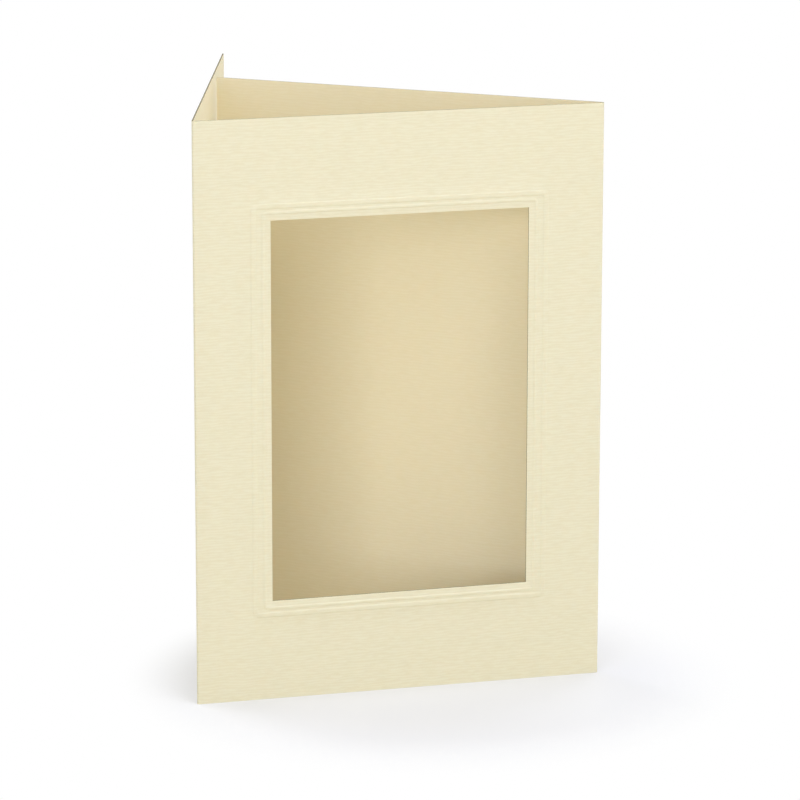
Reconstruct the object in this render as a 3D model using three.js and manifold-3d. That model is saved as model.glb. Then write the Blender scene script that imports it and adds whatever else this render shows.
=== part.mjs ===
// Passe-partout card: one sheet of cream ribbed card, scored and folded twice, that stands
// upright on its cut edge as a three-sided screen. The front panel has a die-cut window for a
// photograph, with two embossed beads around it. The back panel turns round the right fold and
// closes the triangle. The cover panel turns round the left fold and runs on past the back
// panel's free edge.
//
// Millimetres. +X runs along the front panel, +Y goes to the back and +Z is up. The origin is
// at the middle of the bounding box, on the surface that the card stands on.

import * as THREE from 'three';
import { mergeVertices } from 'three/addons/utils/BufferGeometryUtils.js';
import Module from 'manifold-3d';

// The sheet. A panel's width runs from the outside of its fold to its other fold or cut edge.
const CARD_HEIGHT = 169;
const CARD_THICKNESS = 0.4;
const FRONT_WIDTH = 120;
const BACK_WIDTH = 119.5;
const COVER_WIDTH = 118;

// The folds. The left fold opens until the cover panel clears the back panel's cut edge.
const FOLD_INNER_RADIUS = 0.15;
const RIGHT_FOLD_ANGLE = 36;
const CUT_EDGE_CLEARANCE = 0.8;
const FOLD_SEGMENTS = 8;

// The window, centred on the front panel.
const WINDOW_WIDTH = 75.6;
const WINDOW_HEIGHT = 110.7;

// The embossed beads. An offset runs from the window's edge to the middle of a bead.
const BEAD_HEIGHT = 0.12;
const BEAD_SLOPE = 0.35;
const BEAD_CORNER_RADIUS = 0.5;
const INNER_BEAD_TOP_WIDTH = 0.4;
const INNER_BEAD_OFFSET = 2.2;
const OUTER_BEAD_TOP_WIDTH = 0.95;
const OUTER_BEAD_SIDE_OFFSET = 5.05;
const OUTER_BEAD_END_OFFSET = 4.05;
const BEAD_ROOT = 0.06;
const SLOPE_SEGMENTS = 4;
const CORNER_SEGMENTS = 5;

// Corners of a geometry that lie this close are one corner.
const MERGE_DISTANCE = 1e-5;

const CARD_COLOUR = 0xece5c9;
const CARD_ROUGHNESS = 0.85;

const wasm = await Module();
wasm.setup();

// A closed geometry becomes a solid once its shared corners are merged.
function toSolid(geometry) {
  const bare = geometry.clone();
  bare.deleteAttribute('normal');
  bare.deleteAttribute('uv');
  const merged = mergeVertices(bare, MERGE_DISTANCE);
  const vertProperties = new Float32Array(merged.getAttribute('position').array);
  const triVerts = new Uint32Array(merged.getIndex().array);
  return new wasm.Manifold(new wasm.Mesh({ numProp: 3, vertProperties, triVerts }));
}

function toGeometry(solid) {
  const mesh = solid.getMesh();
  const geometry = new THREE.BufferGeometry();
  geometry.setAttribute('position', new THREE.BufferAttribute(mesh.vertProperties, 3));
  geometry.setIndex(new THREE.BufferAttribute(mesh.triVerts, 1));
  geometry.computeVertexNormals();
  return geometry;
}

// The sheet's outline seen from above. Each fold is a pair of arcs about one centre.
const foldOuterRadius = FOLD_INNER_RADIUS + CARD_THICKNESS;
const leftFold = new THREE.Vector2(foldOuterRadius, foldOuterRadius);
const rightFold = new THREE.Vector2(FRONT_WIDTH - foldOuterRadius, foldOuterRadius);
const frontNormal = THREE.MathUtils.degToRad(-90);
const backNormal = THREE.MathUtils.degToRad(90 - RIGHT_FOLD_ANGLE);

function unitVector(angle) {
  return new THREE.Vector2(Math.cos(angle), Math.sin(angle));
}

// A corner of a panel's cut edge: so far from the fold along the panel, and so far out along
// the panel's outward normal.
function panelCorner(fold, direction, width, normal, out) {
  const along = unitVector(direction).multiplyScalar(width - foldOuterRadius);
  const outward = unitVector(normal).multiplyScalar(out);
  return fold.clone().add(along).add(outward);
}

function backCorner(out) {
  return panelCorner(rightFold, backNormal + Math.PI / 2, BACK_WIDTH, backNormal, out);
}

// The cover panel's inner face passes the back panel's inner corner at the named clearance.
const toBackCorner = backCorner(FOLD_INNER_RADIUS).sub(leftFold);
const clearOfCorner = (CUT_EDGE_CLEARANCE + FOLD_INNER_RADIUS) / toBackCorner.length();
const coverDirection = toBackCorner.angle() + Math.asin(clearOfCorner);
const coverNormal = coverDirection + Math.PI / 2;

function coverCorner(out) {
  return panelCorner(leftFold, coverDirection, COVER_WIDTH, coverNormal, out);
}

function sheetOutline() {
  const coverInner = coverCorner(FOLD_INNER_RADIUS);
  const coverOuter = coverCorner(foldOuterRadius);
  const backOuter = backCorner(foldOuterRadius);
  const backInner = backCorner(FOLD_INNER_RADIUS);
  const front = frontNormal + 2 * Math.PI;
  const back = backNormal + 2 * Math.PI;
  const outline = new THREE.Shape();
  outline.moveTo(coverInner.x, coverInner.y);
  outline.lineTo(coverOuter.x, coverOuter.y);
  outline.absarc(leftFold.x, leftFold.y, foldOuterRadius, coverNormal, front, false);
  outline.absarc(rightFold.x, rightFold.y, foldOuterRadius, front, back, false);
  outline.lineTo(backOuter.x, backOuter.y);
  outline.lineTo(backInner.x, backInner.y);
  outline.absarc(rightFold.x, rightFold.y, FOLD_INNER_RADIUS, back, front, true);
  outline.absarc(leftFold.x, leftFold.y, FOLD_INNER_RADIUS, front, coverNormal, true);
  outline.closePath();
  return outline;
}

function foldedSheet() {
  const settings = { depth: CARD_HEIGHT, bevelEnabled: false, curveSegments: FOLD_SEGMENTS };
  return new THREE.ExtrudeGeometry(sheetOutline(), settings);
}

// The window's cutter passes right through the front panel and stands one thickness clear of
// each of its faces.
const windowCentre = new THREE.Vector3(FRONT_WIDTH / 2, CARD_THICKNESS / 2, CARD_HEIGHT / 2);

function windowCutter() {
  const cutterDepth = CARD_THICKNESS + 2 * CARD_THICKNESS;
  const cutter = new THREE.BoxGeometry(WINDOW_WIDTH, cutterDepth, WINDOW_HEIGHT);
  cutter.translate(windowCentre.x, windowCentre.y, windowCentre.z);
  return cutter;
}

// One closed line round the window, as a rectangle with round corners. Every line round the
// window has the same number of points, so that two of them join with a band of faces.
function frameLine(halfWidth, halfHeight, radius) {
  const points = [];
  const corners = [[1, 1], [-1, 1], [-1, -1], [1, -1]];
  corners.forEach(([sideX, sideZ], corner) => {
    for (let step = 0; step <= CORNER_SEGMENTS; step += 1) {
      const angle = (corner + step / CORNER_SEGMENTS) * Math.PI / 2;
      const x = sideX * (halfWidth - radius) + radius * Math.cos(angle);
      const z = sideZ * (halfHeight - radius) + radius * Math.sin(angle);
      points.push([x, z]);
    }
  });
  return points;
}

// Half of a bead's section, from the middle of its top to its root inside the sheet. Each entry
// is the distance from the bead's middle line and the height over the face. A cosine gives the
// pressed card its soft shoulder and foot.
function beadSection(topWidth) {
  const section = [];
  for (let step = 0; step <= SLOPE_SEGMENTS; step += 1) {
    const share = step / SLOPE_SEGMENTS;
    const height = BEAD_HEIGHT * (1 + Math.cos(Math.PI * share)) / 2;
    section.push([topWidth / 2 + BEAD_SLOPE * share, height]);
  }
  section.pop();
  section.push([topWidth / 2 + BEAD_SLOPE, -BEAD_ROOT]);
  return section;
}

// A bead is a raised line that runs round the window. The press pushes the sheet out by the
// bead's height, so the same ring stands proud of the outer face and is sunk in the inner face.
function beadRing(topWidth, sideOffset, endOffset) {
  const half = beadSection(topWidth);
  const inner = half.map(([out, height]) => [-out, height]).reverse();
  const section = inner.concat(half);
  const middleWidth = WINDOW_WIDTH / 2 + sideOffset;
  const middleHeight = WINDOW_HEIGHT / 2 + endOffset;
  const middleRadius = BEAD_CORNER_RADIUS + topWidth / 2 + BEAD_SLOPE;
  const positions = [];
  section.forEach(([out, height]) => {
    const line = frameLine(middleWidth + out, middleHeight + out, middleRadius + out);
    line.forEach(([x, z]) => positions.push(windowCentre.x + x, -height, windowCentre.z + z));
  });
  const count = 4 * (CORNER_SEGMENTS + 1);
  const faces = [];
  for (let row = 0; row < section.length; row += 1) {
    const nextRow = (row + 1) % section.length;
    for (let column = 0; column < count; column += 1) {
      const nextColumn = (column + 1) % count;
      const a = row * count + column;
      const b = row * count + nextColumn;
      const c = nextRow * count + nextColumn;
      const d = nextRow * count + column;
      faces.push(a, c, b, a, d, c);
    }
  }
  const ring = new THREE.BufferGeometry();
  ring.setAttribute('position', new THREE.Float32BufferAttribute(positions, 3));
  ring.setIndex(faces);
  return ring;
}

function embossed(sheet, ring) {
  const raised = toSolid(ring);
  const sunk = raised.translate([0, CARD_THICKNESS, 0]);
  return sheet.add(raised).subtract(sunk);
}

function cardGeometry() {
  const innerBead = beadRing(INNER_BEAD_TOP_WIDTH, INNER_BEAD_OFFSET, INNER_BEAD_OFFSET);
  const outerBead = beadRing(OUTER_BEAD_TOP_WIDTH, OUTER_BEAD_SIDE_OFFSET, OUTER_BEAD_END_OFFSET);
  let sheet = toSolid(foldedSheet());
  sheet = sheet.subtract(toSolid(windowCutter()));
  sheet = embossed(sheet, innerBead);
  sheet = embossed(sheet, outerBead);
  const geometry = toGeometry(sheet);
  geometry.computeBoundingBox();
  const middle = geometry.boundingBox.getCenter(new THREE.Vector3());
  geometry.translate(-middle.x, -middle.y, 0);
  return geometry;
}

const creamCard = new THREE.MeshStandardMaterial({
  color: CARD_COLOUR,
  roughness: CARD_ROUGHNESS,
  metalness: 0,
});

const foldedCard = new THREE.Mesh(cardGeometry(), creamCard);
foldedCard.name = 'folded_card';

const passePartoutCard = new THREE.Group();
passePartoutCard.name = 'passe_partout_card';
passePartoutCard.add(foldedCard);

export default passePartoutCard;
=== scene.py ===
"""A folded passe-partout card of cream laid card, standing on a white studio floor."""

import math
from functools import partial

import bpy
from mathutils import Matrix, Vector


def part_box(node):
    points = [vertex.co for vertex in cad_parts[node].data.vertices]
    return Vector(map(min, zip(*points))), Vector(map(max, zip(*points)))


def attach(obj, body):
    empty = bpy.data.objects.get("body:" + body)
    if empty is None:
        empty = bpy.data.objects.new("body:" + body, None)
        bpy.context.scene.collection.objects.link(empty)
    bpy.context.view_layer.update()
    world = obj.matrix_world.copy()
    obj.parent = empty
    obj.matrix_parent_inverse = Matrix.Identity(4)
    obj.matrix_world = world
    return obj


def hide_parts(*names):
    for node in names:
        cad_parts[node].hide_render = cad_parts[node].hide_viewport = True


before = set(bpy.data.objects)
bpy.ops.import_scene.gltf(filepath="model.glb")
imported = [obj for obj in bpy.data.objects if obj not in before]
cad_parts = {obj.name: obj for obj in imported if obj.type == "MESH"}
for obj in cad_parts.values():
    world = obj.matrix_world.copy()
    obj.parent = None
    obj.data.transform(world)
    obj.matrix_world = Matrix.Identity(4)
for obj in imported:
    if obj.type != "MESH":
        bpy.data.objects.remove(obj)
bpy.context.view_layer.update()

bl_info = {
    "name": "Passe-partout card",
    "version": (1, 0, 0),
    "blender": (4, 5, 0),
    "location": "View3D > Sidebar > Card",
    "description": "Cuts, embosses and folds a card that shows a photograph in its window",
    "category": "Add Mesh",
}

NODE = "folded_card"
BODY = "root"
SHEET = "sheet"
MM = 0.001

MATH = "ShaderNodeMath"
VECTOR_MATH = "ShaderNodeVectorMath"

CARD_BOTTOM, CARD_TOP = (corner.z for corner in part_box(NODE))
CARD_LEFT, CARD_RIGHT = (corner.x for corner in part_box(NODE))


def length(label, text, default):
    """A property that holds a length in metres."""
    return bpy.props.FloatProperty(
        name=label, description=text, default=default, min=0, precision=5,
        subtype="DISTANCE", unit="LENGTH")


def colour(label, text, default):
    """A property that holds an sRGB colour as a hex value."""
    return bpy.props.StringProperty(name=label, description=text, default=default)


def power(label, text, default):
    """A property that holds a lamp's power in watts."""
    return bpy.props.FloatProperty(
        name=label, description=text, default=default, min=0, unit="POWER")


class CardSizes(bpy.types.PropertyGroup):
    """The sheet's cut, its beads and its folds."""

    height: length("Height", "Height of the sheet", CARD_TOP - CARD_BOTTOM)
    thickness: length("Thickness", "Thickness of the card", 0.4 * MM)
    front_width: length(
        "Front panel", "Width of the front panel over its folds", CARD_RIGHT - CARD_LEFT)
    back_width: length(
        "Back panel", "Width of the back panel from its cut edge over its fold", 119.5 * MM)
    cover_width: length(
        "Cover panel", "Width of the cover panel from its cut edge over its fold", 118 * MM)
    fold_radius: length("Fold radius", "Radius inside a fold", 0.15 * MM)
    right_fold: bpy.props.FloatProperty(
        name="Right fold", description="Angle between the front panel and the back panel",
        default=math.radians(36), subtype="ANGLE")
    edge_clearance: length(
        "Edge clearance", "Space between the back panel's cut edge and the cover panel", 0.8 * MM)
    window_width: length("Window width", "Width of the window", 75.6 * MM)
    window_height: length("Window height", "Height of the window", 110.7 * MM)
    bead_height: length("Bead height", "How far a bead stands out of the panel", 0.12 * MM)
    bead_slope: length("Bead slope", "Width of a bead's sloping side", 0.35 * MM)
    bead_corner: length("Bead corner", "Radius inside a bead's corner", 0.5 * MM)
    inner_bead_top: length("Inner bead top", "Width of the inner bead's flat top", 0.4 * MM)
    inner_bead_offset: length(
        "Inner bead offset", "From the window's edge to the middle of the inner bead", 2.2 * MM)
    outer_bead_top: length("Outer bead top", "Width of the outer bead's flat top", 0.95 * MM)
    outer_bead_side: length(
        "Outer bead at sides", "From the window's side to the middle of the outer bead", 5.05 * MM)
    outer_bead_end: length(
        "Outer bead at ends", "From the window's top to the middle of the outer bead", 4.05 * MM)


class CardFinish(bpy.types.PropertyGroup):
    """The card's colours and the pitch of its ribs."""

    outer_crest: colour("Outer ribs", "Colour of the ribs on the outer face", "#E8E5D1")
    # The hollows' colours are darker than the ribs': painted shade in the hollows.
    outer_hollow_painted_shade: colour("Outer hollows", "Colour between the ribs, outer face", "#E3DEC7")
    # The inner face's colours are warmer and lighter than the outer face's: painted warm bounce
    # light from the facing panels.
    inner_crest_painted_bounce: colour("Inner ribs", "Colour of the ribs on the inner face", "#EFE7CD")
    inner_hollow_painted_bounce_and_shade: colour("Inner hollows", "Colour between the ribs, inner face", "#ECE3C6")
    cut_edge: colour("Cut edge", "Colour of the die-cut edges", "#77725C")
    rib_pitch: length("Rib pitch", "Distance from one rib to the next", 0.85 * MM)
    rib_length: length("Rib length", "How far a rib runs before it breaks", 3.5 * MM)
    rib_depth: length("Rib depth", "Height of a rib over the hollow", 0.012 * MM)


class StudioLight(bpy.types.PropertyGroup):
    """The floor, the lamps and the level of the light all round."""

    surround: bpy.props.FloatProperty(
        name="Surround", description="Level of the light that comes from all round",
        default=0.35, min=0)
    zenith: power("Lamp over the card", "Power of the lamp over the card", 4.7)
    front_left: power("Front left lamp", "Power of the low lamp in front on the left", 6.3)
    front: power("Front lamp", "Power of the high lamp in front", 7.6)
    right: power("Right lamp", "Power of the lamp on the right", 1.6)
    back_left: power("Back left lamp", "Power of the lamp behind on the left", 5.0)
    back_right: power("Back right lamp", "Power of the lamp behind on the right", 3.5)
    floor: colour("Floor", "Colour of the floor where the camera sees it", "#E6E7EC")
    floor_bounce: colour("Floor bounce", "Colour that the floor gives to the card", "#CCC3A9")


def linear(hex_colour):
    """Turns an sRGB hex value into a linear colour with full alpha."""
    channels = [int(hex_colour[at:at + 2], 16) / 255 for at in (1, 3, 5)]
    turned = [c / 12.92 if c <= 0.04045 else ((c + 0.055) / 1.055) ** 2.4 for c in channels]
    return (*turned, 1)


def add_node(tree, kind, *values, named=None, **settings):
    """Adds a node. Its inputs are filled in order, or by name, and a node given as a value
    is linked from its first output in use."""
    made = tree.nodes.new(kind)
    for name, value in settings.items():
        setattr(made, name, value)
    for key, value in (*enumerate(values), *(named or {}).items()):
        if isinstance(value, bpy.types.Node):
            value = next(socket for socket in value.outputs if socket.enabled)
        if isinstance(value, bpy.types.NodeSocket):
            tree.links.new(value, made.inputs[key])
        else:
            made.inputs[key].default_value = value
    return made


def new_tree(name, inputs, outputs):
    """A geometry tree with named sockets, and its input and output nodes."""
    tree = bpy.data.node_groups.new(name, "GeometryNodeTree")
    for socket, kind in inputs:
        tree.interface.new_socket(name=socket, in_out="INPUT", socket_type="NodeSocket" + kind)
    for socket, kind in outputs:
        tree.interface.new_socket(name=socket, in_out="OUTPUT", socket_type="NodeSocket" + kind)
    return tree, tree.nodes.new("NodeGroupInput").outputs, tree.nodes.new("NodeGroupOutput")


def bead_tree():
    """How far the card is pressed out at a point, for one bead round the window.

    The bead follows a rectangle with round corners, and a point's distance from that line
    gives its height, with a soft shoulder and a soft foot.
    """
    tree, given, result = new_tree(
        "bead_height",
        [("From Centre", "Vector"), ("Half Width", "Float"), ("Half Height", "Float"),
         ("Corner Radius", "Float"), ("Top Width", "Float"), ("Slope", "Float"),
         ("Height", "Float")],
        [("Pressed Out", "Float")])

    add = partial(add_node, tree)
    away = add(VECTOR_MATH, given["From Centre"], operation="ABSOLUTE")
    split = add("ShaderNodeSeparateXYZ", away).outputs
    radius = given["Corner Radius"]
    straight_x = add(MATH, given["Half Width"], radius, operation="SUBTRACT")
    straight_z = add(MATH, given["Half Height"], radius, operation="SUBTRACT")
    over_x = add(MATH, split["X"], straight_x, operation="SUBTRACT")
    over_z = add(MATH, split["Z"], straight_z, operation="SUBTRACT")
    corner = add("ShaderNodeCombineXYZ", named={
        "X": add(MATH, over_x, 0.0, operation="MAXIMUM"),
        "Z": add(MATH, over_z, 0.0, operation="MAXIMUM")})
    outside = add(VECTOR_MATH, corner, operation="LENGTH")
    nearer = add(MATH, over_x, over_z, operation="MAXIMUM")
    inside = add(MATH, nearer, 0.0, operation="MINIMUM")
    from_corner = add(MATH, outside, inside, operation="ADD")
    to_line = add(MATH, from_corner, radius, operation="SUBTRACT")
    half_top = add(MATH, given["Top Width"], 0.5, operation="MULTIPLY")
    fall = add("ShaderNodeMapRange", interpolation_type="SMOOTHSTEP", named={
        "Value": add(MATH, to_line, operation="ABSOLUTE"),
        "From Min": half_top,
        "From Max": add(MATH, half_top, given["Slope"], operation="ADD"),
        "To Min": given["Height"],
        "To Max": 0.0})
    tree.links.new(fall.outputs["Result"], result.inputs["Pressed Out"])
    return tree


def fold_tree():
    """Turns the sheet round one fold.

    Past the fold's line the sheet winds round the fold's centre until the arc is used up,
    and then runs on straight.
    """
    tree, given, result = new_tree(
        "sheet_fold",
        [("Geometry", "Geometry"), ("Past Line", "Float"), ("Side", "Float"),
         ("Arc Length", "Float"), ("Turn", "Float"), ("Centre", "Vector")],
        [("Geometry", "Geometry")])

    add = partial(add_node, tree)
    past = add(MATH, given["Past Line"], 0.0, operation="MAXIMUM")
    wound = add(MATH, past, given["Arc Length"], operation="MINIMUM")
    side_wound = add(MATH, wound, given["Side"], operation="MULTIPLY")
    back = add("ShaderNodeCombineXYZ", add(MATH, side_wound, -1.0, operation="MULTIPLY"))
    moved = add(VECTOR_MATH, add("GeometryNodeInputPosition"), back, operation="ADD")
    share = add(MATH, wound, given["Arc Length"], operation="DIVIDE")
    turned = add("ShaderNodeVectorRotate", rotation_type="Z_AXIS", named={
        "Vector": moved,
        "Center": given["Centre"],
        "Angle": add(MATH, share, given["Turn"], operation="MULTIPLY")})
    placed = add("GeometryNodeSetPosition", named={
        "Geometry": given["Geometry"], "Position": turned})
    tree.links.new(placed.outputs[0], result.inputs["Geometry"])
    return tree


MERGE_DISTANCE = 0.001 * MM
CRISP_ANGLE = math.radians(50)


def sheet_tree():
    """The card's making: thickness, beads, folds and finishes, from a flat die-cut blank."""
    lengths = [
        "Thickness", "Window Half Width", "Window Half Height", "Bead Height", "Bead Slope",
        "Bead Corner", "Inner Top", "Inner Offset", "Outer Top", "Outer Side", "Outer End",
        "Left Line", "Left Arc", "Left Turn", "Right Line", "Right Arc", "Right Turn"]
    tree, given, result = new_tree(
        "folded_sheet",
        [("Geometry", "Geometry"), *((name, "Float") for name in lengths),
         ("Window Centre", "Vector"), ("Left Centre", "Vector"), ("Right Centre", "Vector"),
         ("Face", "Material"), ("Cut Edge", "Material")],
        [("Geometry", "Geometry")])

    add = partial(add_node, tree)
    through = add("ShaderNodeCombineXYZ", named={"Y": given["Thickness"]})
    walls = add("GeometryNodeExtrudeMesh", mode="FACES", named={
        "Mesh": given["Geometry"], "Offset": through, "Offset Scale": 1.0, "Individual": False})
    outer = add("GeometryNodeFlipFaces", given["Geometry"])
    joined = add("GeometryNodeJoinGeometry")
    for part in (walls, outer):
        tree.links.new(part.outputs["Mesh"], joined.inputs["Geometry"])
    closed = add("GeometryNodeMergeByDistance", named={
        "Geometry": joined, "Distance": MERGE_DISTANCE})

    marked = add(
        "GeometryNodeStoreNamedAttribute", data_type="FLOAT_VECTOR", domain="POINT",
        named={"Geometry": closed, "Name": SHEET, "Value": add("GeometryNodeInputPosition")})
    flat = add("GeometryNodeInputNamedAttribute", SHEET, data_type="FLOAT_VECTOR")
    from_centre = add(VECTOR_MATH, flat, given["Window Centre"], operation="SUBTRACT")
    beads = bead_tree()
    raised = 0.0
    for top, side, end in (("Inner Top", "Inner Offset", "Inner Offset"),
                           ("Outer Top", "Outer Side", "Outer End")):
        half_top = add(MATH, given[top], 0.5, operation="MULTIPLY")
        reach = add(MATH, half_top, given["Bead Slope"], operation="ADD")
        bead = add("GeometryNodeGroup", node_tree=beads, named={
            "From Centre": from_centre,
            "Half Width": add(MATH, given["Window Half Width"], given[side], operation="ADD"),
            "Half Height": add(MATH, given["Window Half Height"], given[end], operation="ADD"),
            "Corner Radius": add(MATH, given["Bead Corner"], reach, operation="ADD"),
            "Top Width": given[top],
            "Slope": given["Bead Slope"],
            "Height": given["Bead Height"]})
        raised = add(MATH, raised, bead, operation="ADD")
    outwards = add("ShaderNodeCombineXYZ", named={
        "Y": add(MATH, raised, -1.0, operation="MULTIPLY")})
    shaped = add("GeometryNodeSetPosition", named={"Geometry": marked, "Offset": outwards})

    along = add("ShaderNodeSeparateXYZ", flat)
    folds = fold_tree()
    for name, side in (("Right", 1.0), ("Left", -1.0)):
        from_line = add(MATH, along, given[name + " Line"], operation="SUBTRACT")
        shaped = add("GeometryNodeGroup", node_tree=folds, named={
            "Geometry": shaped,
            "Past Line": add(MATH, from_line, side, operation="MULTIPLY"),
            "Side": side,
            "Arc Length": given[name + " Arc"],
            "Turn": given[name + " Turn"],
            "Centre": given[name + " Centre"]})

    smooth = add("GeometryNodeSetShadeSmooth", shaped, domain="FACE",
                 named={"Shade Smooth": True})
    angle = add("GeometryNodeInputMeshEdgeAngle")
    crisp = add("GeometryNodeSetShadeSmooth", smooth, domain="EDGE", named={
        "Shade Smooth": False,
        "Selection": add(MATH, angle, CRISP_ANGLE, operation="GREATER_THAN")})
    real = add("GeometryNodeRealizeInstances", crisp)
    faces = add("GeometryNodeSetMaterial", real, named={"Material": given["Face"]})
    edges = add("GeometryNodeSetMaterial", faces, named={
        "Selection": walls.outputs["Side"], "Material": given["Cut Edge"]})
    tree.links.new(edges.outputs[0], result.inputs[0])
    return tree


SLOPE_STEPS = 6
FOLD_STEPS = 14
PANEL_STEP = 6 * MM


def steps(start, end, count):
    """Evenly spaced values from start to end, both included."""
    return [start + (end - start) * at / count for at in range(count + 1)]


def fill(marks, step):
    """The marks in order, with the wide gaps between them divided evenly."""
    marks = sorted(set(marks))
    lines = marks[:1]
    for before, after in zip(marks, marks[1:]):
        count = max(1, math.ceil((after - before) / step))
        lines.extend(steps(before, after, count)[1:])
    return lines


def bead_marks(centre, half_window, beads, slope):
    """Lines that cross the beads on both sides of the window, close on their slopes."""
    marks = []
    for offset, top in beads:
        for start in (offset - top / 2 - slope, offset + top / 2):
            for away in steps(start, start + slope, SLOPE_STEPS):
                marks += [centre - half_window - away, centre + half_window + away]
    return marks


class FoldPlan:
    """Where the sheet's panels and folds lie, worked out from the card's sizes."""

    def __init__(self, sizes):
        self.front_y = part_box(NODE)[0].y + sizes.bead_height
        outer = sizes.fold_radius + sizes.thickness
        self.left = Vector((CARD_LEFT + outer, self.front_y + outer, 0))
        self.right = Vector((CARD_LEFT + sizes.front_width - outer, self.front_y + outer, 0))
        self.right_turn = math.pi - sizes.right_fold
        along_back = Vector((math.cos(self.right_turn), math.sin(self.right_turn), 0))
        out_back = Vector((along_back.y, -along_back.x, 0))
        corner = (self.right + along_back * (sizes.back_width - outer)
                  + out_back * sizes.fold_radius)
        to_corner = corner - self.left
        clear = math.asin((sizes.edge_clearance + sizes.fold_radius) / to_corner.length)
        self.left_turn = math.pi - (math.atan2(to_corner.y, to_corner.x) + clear)
        middle_radius = sizes.fold_radius + sizes.thickness / 2
        self.left_arc = middle_radius * self.left_turn
        self.right_arc = middle_radius * self.right_turn
        self.cover_edge = self.left.x - self.left_arc - (sizes.cover_width - outer)
        self.back_edge = self.right.x + self.right_arc + (sizes.back_width - outer)
        self.window = Vector((CARD_LEFT + sizes.front_width / 2, self.front_y,
                              CARD_BOTTOM + sizes.height / 2))


def flat_blank(sizes, plan):
    """The die-cut blank before it is folded: a flat mesh with the window left open."""
    half_w, half_h = sizes.window_width / 2, sizes.window_height / 2
    centre_x, centre_z = plan.window.x, plan.window.z
    inner = (sizes.inner_bead_offset, sizes.inner_bead_top)
    side_beads = [inner, (sizes.outer_bead_side, sizes.outer_bead_top)]
    end_beads = [inner, (sizes.outer_bead_end, sizes.outer_bead_top)]
    columns = fill(
        [plan.cover_edge, centre_x - half_w, centre_x + half_w, plan.back_edge,
         *steps(plan.left.x - plan.left_arc, plan.left.x, FOLD_STEPS),
         *steps(plan.right.x, plan.right.x + plan.right_arc, FOLD_STEPS),
         *bead_marks(centre_x, half_w, side_beads, sizes.bead_slope)], PANEL_STEP)
    rows = fill(
        [CARD_BOTTOM, centre_z - half_h, centre_z + half_h, CARD_BOTTOM + sizes.height,
         *bead_marks(centre_z, half_h, end_beads, sizes.bead_slope)], PANEL_STEP)
    across = len(columns)
    points = [(x, plan.front_y, z) for z in rows for x in columns]
    faces = []
    for row in range(len(rows) - 1):
        middle_z = (rows[row] + rows[row + 1]) / 2
        for column in range(across - 1):
            middle_x = (columns[column] + columns[column + 1]) / 2
            if abs(middle_x - centre_x) < half_w and abs(middle_z - centre_z) < half_h:
                continue
            at = row * across + column
            faces.append((at, at + across, at + across + 1, at + 1))
    used = sorted({point for face in faces for point in face})
    place = {point: at for at, point in enumerate(used)}
    mesh = bpy.data.meshes.new("blank")
    mesh.from_pydata([points[point] for point in used], [],
                     [[place[point] for point in face] for face in faces])
    return mesh


def show(name, data):
    """Puts an object in the scene."""
    made = bpy.data.objects.new(name, data)
    bpy.context.scene.collection.objects.link(made)
    return made


def made_by(name, mesh, tree, values):
    """Runs a geometry tree on a mesh and gives the plain result as an object."""
    source = show(name + "_source", mesh)
    modifier = source.modifiers.new(name, "NODES")
    modifier.node_group = tree
    for item in tree.interface.items_tree:
        if item.in_out == "INPUT" and item.name in values:
            modifier[item.identifier] = values[item.name]
    evaluated = source.evaluated_get(bpy.context.evaluated_depsgraph_get())
    result = bpy.data.meshes.new_from_object(evaluated)
    source.modifiers.clear()
    bpy.data.objects.remove(source)
    result.name = name
    return show(name, result)


def new_material(name):
    """An empty material with its shader linked to its output."""
    material = bpy.data.materials.new(name)
    material.use_nodes = True
    tree = material.node_tree
    tree.nodes.clear()
    shader = add_node(tree, "ShaderNodeBsdfPrincipled")
    add_node(tree, "ShaderNodeOutputMaterial", shader)
    return material, tree, shader


def set_shader(shader, **values):
    """Sets the shader's own sockets, each named with underscores for spaces."""
    for name, value in values.items():
        shader.inputs[name.replace("_", " ")].default_value = value


# Size of a fibre, how far the ribs waver, the ribs' and the fibres' share in the relief, and
# the relief's levels in a hollow and on a crest.
FIBRE = 0.5 * MM
RIB_WAVER = 14.0
RIB_SHARE = 0.3
FIBRE_SHARE = 0.25
HOLLOW_RELIEF = 0.35
CREST_RELIEF = 0.85


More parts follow.
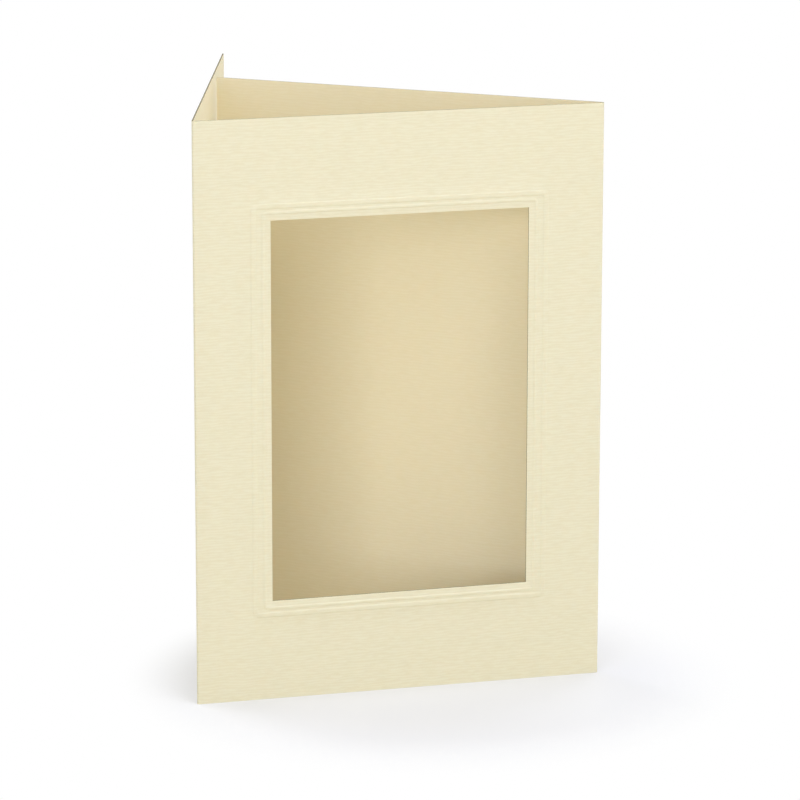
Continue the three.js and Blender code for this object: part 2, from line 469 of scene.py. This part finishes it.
def laid_card(finish, middle_y):
    """Uncoated laid card, its ribs pressed in by the mould's wires.

    It gives the eye a matt cream face with fine level ribs that waver and break off. The
    inner face, past middle_y in the flat sheet, is a warmer, lighter cream: painted warm
    bounce light from the facing panels. A little light passes through the sheet.
    """
    material, tree, shader = new_material("uncoated_laid_card")
    add = partial(add_node, tree)
    place = add("ShaderNodeAttribute", attribute_name=SHEET).outputs["Vector"]

    pitch = finish.rib_pitch
    clouds = []
    for along, up, detail in ((finish.rib_length, pitch, 2.0),
                              (2 * finish.rib_length, 2 * pitch, 2.0),
                              (FIBRE, FIBRE, 1.0)):
        stretched = add("ShaderNodeMapping", place, named={
            "Scale": (1 / along, 1 / along, 1 / up)})
        clouds.append(add("ShaderNodeTexNoise", stretched, named={
            "Scale": 1.0, "Detail": detail}))
    broken, drift, fibres = clouds

    split = add("ShaderNodeSeparateXYZ", place).outputs
    turns = add(MATH, split["Z"], 2 * math.pi / pitch, operation="MULTIPLY")
    wavering = add(MATH, drift, RIB_WAVER, turns, operation="MULTIPLY_ADD")
    wave = add(MATH, add(MATH, wavering, operation="SINE"), RIB_SHARE, operation="MULTIPLY")
    ribs = add(MATH, wave, broken, broken, operation="MULTIPLY_ADD")
    relief = add(MATH, fibres, FIBRE_SHARE, ribs, operation="MULTIPLY_ADD")
    bump = add("ShaderNodeBump", named={
        "Strength": 1.0, "Distance": finish.rib_depth, "Height": relief})
    # The colour follows the relief, so the hollows get the darker colour: painted shade in the
    # hollows.
    hollow_painted_shade = add("ShaderNodeMapRange", relief, named={
        "From Min": HOLLOW_RELIEF, "From Max": CREST_RELIEF})
    outer = add("ShaderNodeMix", data_type="RGBA", named={
        "Factor": hollow_painted_shade, "A": linear(finish.outer_hollow_painted_shade), "B": linear(finish.outer_crest)})
    # The inner face gets the warmer, lighter cream, which is painted warm bounce light and not a
    # colour of its own.
    inner = add("ShaderNodeMix", data_type="RGBA", named={
        "Factor": hollow_painted_shade, "A": linear(finish.inner_hollow_painted_bounce_and_shade), "B": linear(finish.inner_crest_painted_bounce)})
    painted_bounce_mask = add(MATH, split["Y"], middle_y, operation="GREATER_THAN")
    tone = add("ShaderNodeMix", data_type="RGBA", named={
        "Factor": painted_bounce_mask, "A": outer, "B": inner})
    tree.links.new(tone.outputs["Result"], shader.inputs["Base Color"])
    tree.links.new(bump.outputs[0], shader.inputs["Normal"])
    set_shader(shader, Roughness=0.85, Specular_IOR_Level=0.2, Subsurface_Weight=0.4,
               Subsurface_Radius=(1.0, 0.85, 0.7), Subsurface_Scale=0.25 * MM)
    return material


EDGE_FIBRE = 0.6 * MM
DULL_FIBRE = 0.4
PALE_FIBRE = 2.0


def cut_card_edge(finish):
    """The die-cut edge: a dark grey-brown, much darker than the faces, flecked with the outer
    face's cream.
    """
    material, tree, shader = new_material("die_cut_card_edge")
    place = add_node(tree, "ShaderNodeAttribute", attribute_name=SHEET).outputs["Vector"]
    fibres = add_node(tree, "ShaderNodeTexNoise", place, named={
        "Scale": 1 / EDGE_FIBRE, "Detail": 3.0})
    spread = add_node(tree, "ShaderNodeMapRange", fibres, named={
        "From Min": DULL_FIBRE, "From Max": PALE_FIBRE})
    tone = add_node(tree, "ShaderNodeMix", data_type="RGBA", named={
        "Factor": spread, "A": linear(finish.cut_edge), "B": linear(finish.outer_hollow_painted_shade)})
    tree.links.new(tone.outputs["Result"], shader.inputs["Base Color"])
    set_shader(shader, Roughness=0.95, Specular_IOR_Level=0.1)
    return material


class CARD_OT_folded_sheet(bpy.types.Operator):
    """Cuts the blank, presses its beads, folds it and gives it its finish"""

    bl_idname = "card.folded_sheet"
    bl_label = "Folded sheet"

    def execute(self, context):
        sizes = context.scene.card_sizes
        finish = context.scene.card_finish
        plan = FoldPlan(sizes)
        values = {
            "Thickness": sizes.thickness,
            "Window Half Width": sizes.window_width / 2,
            "Window Half Height": sizes.window_height / 2,
            "Bead Height": sizes.bead_height,
            "Bead Slope": sizes.bead_slope,
            "Bead Corner": sizes.bead_corner,
            "Inner Top": sizes.inner_bead_top,
            "Inner Offset": sizes.inner_bead_offset,
            "Outer Top": sizes.outer_bead_top,
            "Outer Side": sizes.outer_bead_side,
            "Outer End": sizes.outer_bead_end,
            "Left Line": plan.left.x,
            "Left Arc": plan.left_arc,
            "Left Turn": -plan.left_turn,
            "Right Line": plan.right.x,
            "Right Arc": plan.right_arc,
            "Right Turn": plan.right_turn,
            "Window Centre": plan.window,
            "Left Centre": plan.left,
            "Right Centre": plan.right,
            "Face": laid_card(finish, plan.front_y + sizes.thickness / 2),
            "Cut Edge": cut_card_edge(finish),
        }
        sheet = made_by("card_sheet", flat_blank(sizes, plan), sheet_tree(), values)
        if not sheet.data.polygons:
            raise RuntimeError("the folded sheet has no faces")
        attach(sheet, BODY)
        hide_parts(NODE)
        return {"FINISHED"}


CAMERA_PLACE = Vector((-322.709, -1232.067, 381.779)) * MM
CAMERA_AZIMUTH = math.radians(-15.3425)
CAMERA_ELEVATION = math.radians(13.6434)
CAMERA_ROLL = math.radians(0.0842)
CAMERA_LENS = 198.165
SENSOR_WIDTH = 36


def aim(forward, roll=0):
    """A rotation that looks along a direction, with the picture turned by roll."""
    right = forward.cross(Vector((0, 0, 1))).normalized()
    up = right.cross(forward)
    turned_right = right * math.cos(roll) + up * math.sin(roll)
    turned_up = up * math.cos(roll) - right * math.sin(roll)
    return Matrix((turned_right, turned_up, -forward)).transposed().to_4x4()


def towards(azimuth, elevation):
    """The direction from the card to a lamp or the camera, seen round the card."""
    level = math.cos(elevation)
    return Vector((math.sin(azimuth) * level, -math.cos(azimuth) * level, math.sin(elevation)))


# Each lamp's name, its angle round the card and its height over the floor, in degrees.
LAMPS = (
    ("zenith", 0, 89),
    ("front_left", -29, 10),
    ("front", 30, 43),
    ("right", 85, 20),
    ("back_left", -135, 35),
    ("back_right", 135, 35),
)
LAMP_SIZE = 0.8
LAMP_DISTANCE = 1.3


def softbox(name, azimuth, elevation, watts):
    """A square lamp that faces the card's middle, at angles in degrees."""
    lamp = bpy.data.lights.new(name, "AREA")
    lamp.shape = "SQUARE"
    lamp.size = LAMP_SIZE
    lamp.energy = watts
    away = towards(math.radians(azimuth), math.radians(elevation))
    place = Vector((0, 0, CARD_TOP / 2)) + away * LAMP_DISTANCE
    show(name, lamp).matrix_world = Matrix.Translation(place) @ aim(-away)


def seen_directly(tree):
    """Is 1 for what the camera sees, also in gloss and through glass, and 0 for light."""
    path = add_node(tree, "ShaderNodeLightPath").outputs
    seen = path["Is Camera Ray"]
    for ray in ("Is Glossy Ray", "Is Transmission Ray"):
        seen = add_node(tree, "ShaderNodeMath", seen, path[ray], operation="MAXIMUM")
    return seen


# The floor shows its shade round a point under the front panel, and past FADE_END it is
# pure white.
FADE_MIDDLE = (12 * MM, -50 * MM, 0)
FADE_START = 55 * MM
FADE_END = 92 * MM
FLOOR_HALF = 3


def white_backdrop(light):
    """Seamless white paper: matt, with the object's soft shadow near it, and pure white where
    it runs off to the horizon."""
    material, tree, shader = new_material("seamless_white_paper")
    seen = seen_directly(tree)
    tone = add_node(tree, "ShaderNodeMix", data_type="RGBA", named={
        "Factor": seen, "A": linear(light.floor_bounce), "B": linear(light.floor)})
    tree.links.new(tone.outputs["Result"], shader.inputs["Base Color"])
    set_shader(shader, Roughness=0.95, Specular_IOR_Level=0.0)
    place = add_node(tree, "ShaderNodeTexCoord").outputs["Object"]
    away = add_node(tree, VECTOR_MATH, place, FADE_MIDDLE, operation="DISTANCE")
    fade = add_node(tree, "ShaderNodeMapRange", away, interpolation_type="SMOOTHSTEP", named={
        "From Min": FADE_START, "From Max": FADE_END})
    share = add_node(tree, "ShaderNodeMath", fade, seen, operation="MULTIPLY")
    white = add_node(tree, "ShaderNodeEmission", named={"Color": linear("#FFFFFF")})
    output = next(node for node in tree.nodes if node.type == "OUTPUT_MATERIAL")
    blend = add_node(tree, "ShaderNodeMixShader", share, shader, white)
    tree.links.new(blend.outputs[0], output.inputs["Surface"])
    return material


class CARD_OT_studio(bpy.types.Operator):
    """Sets up the floor, the lamps, the light all round and the camera"""

    bl_idname = "card.studio"
    bl_label = "Studio"

    def execute(self, context):
        light = context.scene.studio_light
        mesh = bpy.data.meshes.new("studio_floor")
        corners = ((-1, -1), (1, -1), (1, 1), (-1, 1))
        mesh.from_pydata([(x * FLOOR_HALF, y * FLOOR_HALF, 0) for x, y in corners], [],
                         [(0, 1, 2, 3)])
        floor = show("studio_floor", mesh)
        mesh.materials.append(white_backdrop(light))

        for name, azimuth, elevation in LAMPS:
            softbox(name + "_softbox", azimuth, elevation, getattr(light, name))

        world = bpy.data.worlds.new("studio_surround")
        context.scene.world = world
        world.use_nodes = True
        tree = world.node_tree
        tree.nodes.clear()
        level = add_node(tree, "ShaderNodeMix", data_type="FLOAT", named={
            "Factor": seen_directly(tree), "A": light.surround, "B": 1.0})
        background = add_node(tree, "ShaderNodeBackground", named={
            "Color": linear("#FFFFFF"), "Strength": level})
        add_node(tree, "ShaderNodeOutputWorld", background)

        camera = show("camera", bpy.data.cameras.new("camera"))
        camera.data.lens = CAMERA_LENS
        camera.data.sensor_width = SENSOR_WIDTH
        forward = -towards(CAMERA_AZIMUTH, CAMERA_ELEVATION)
        camera.matrix_world = Matrix.Translation(CAMERA_PLACE) @ aim(forward, CAMERA_ROLL)
        context.scene.camera = camera
        context.scene.view_settings.view_transform = "Standard"
        return {"FINISHED"}


class CARD_PT_panel(bpy.types.Panel):
    """Lists the card's pieces and its studio"""

    bl_idname = "CARD_PT_panel"
    bl_label = "Passe-partout card"
    bl_space_type = "VIEW_3D"
    bl_region_type = "UI"
    bl_category = "Card"

    def draw(self, context):
        for group in (context.scene.card_sizes, context.scene.card_finish,
                      context.scene.studio_light):
            box = self.layout.box()
            for name in group.__annotations__:
                box.prop(group, name)
        for operator in OPERATORS:
            self.layout.operator(operator.bl_idname)


OPERATORS = (CARD_OT_folded_sheet, CARD_OT_studio)
GROUPS = {"card_sizes": CardSizes, "card_finish": CardFinish, "studio_light": StudioLight}


def register():
    for kind in (*GROUPS.values(), *OPERATORS, CARD_PT_panel):
        bpy.utils.register_class(kind)
    for name, group in GROUPS.items():
        setattr(bpy.types.Scene, name, bpy.props.PointerProperty(type=group))


def unregister():
    for name in GROUPS:
        delattr(bpy.types.Scene, name)
    for kind in reversed((*GROUPS.values(), *OPERATORS, CARD_PT_panel)):
        bpy.utils.unregister_class(kind)


def main():
    register()
    bpy.ops.card.folded_sheet()
    bpy.ops.card.studio()


if __name__ == "__main__":
    main()
